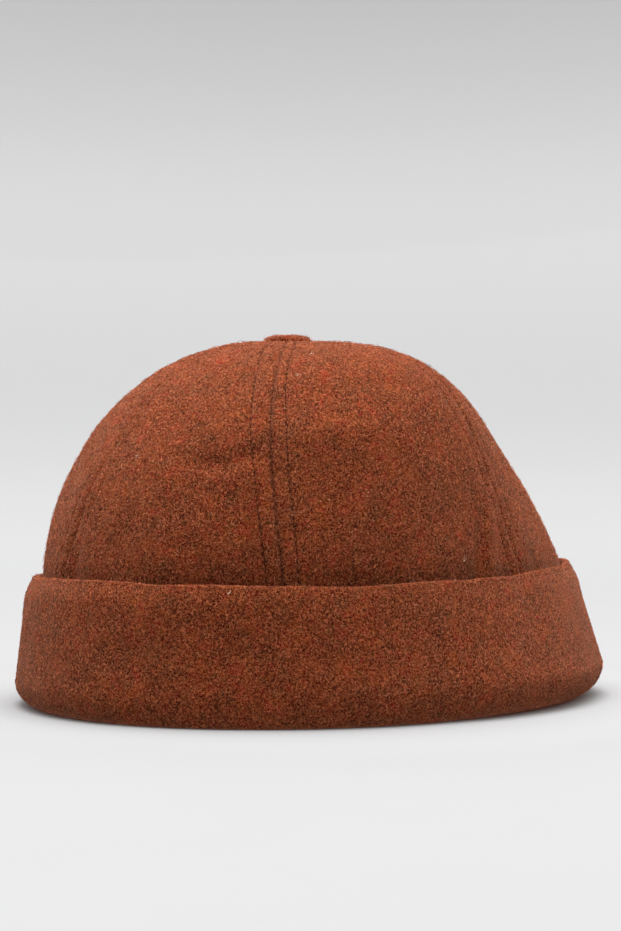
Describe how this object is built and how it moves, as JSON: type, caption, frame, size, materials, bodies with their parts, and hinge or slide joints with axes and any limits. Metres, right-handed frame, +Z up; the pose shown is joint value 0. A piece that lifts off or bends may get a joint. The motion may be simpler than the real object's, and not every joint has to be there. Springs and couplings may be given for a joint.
{
  "type": "docker beanie",
  "caption": "Brimless cap of brushed wool cloth: gores that meet under a covered button, and a cuff folded up all round.",
  "frame": {"origin": "middle of the hat's footprint, on the surface that it rests on", "axes": "+Z up through the crown, +Y towards the back of the hat and along its length, +X towards the wearer's left side"},
  "size_m": [0.1836, 0.2212, 0.1308],
  "materials": {
    "crown_cloth": "brushed wool flannel, rust melange, soft nap",
    "cuff_cloth": "brushed wool flannel, rust melange, soft nap",
    "button_cloth": "brushed wool flannel drawn over a button"
  },
  "bodies": {
    "root": {"crown_panel_1": "crown_cloth", "crown_panel_2": "crown_cloth", "crown_panel_3": "crown_cloth", "crown_panel_4": "crown_cloth", "crown_panel_5": "crown_cloth", "crown_panel_6": "crown_cloth", "cuff": "cuff_cloth", "button": "button_cloth"}
  },
  "joints": []
}
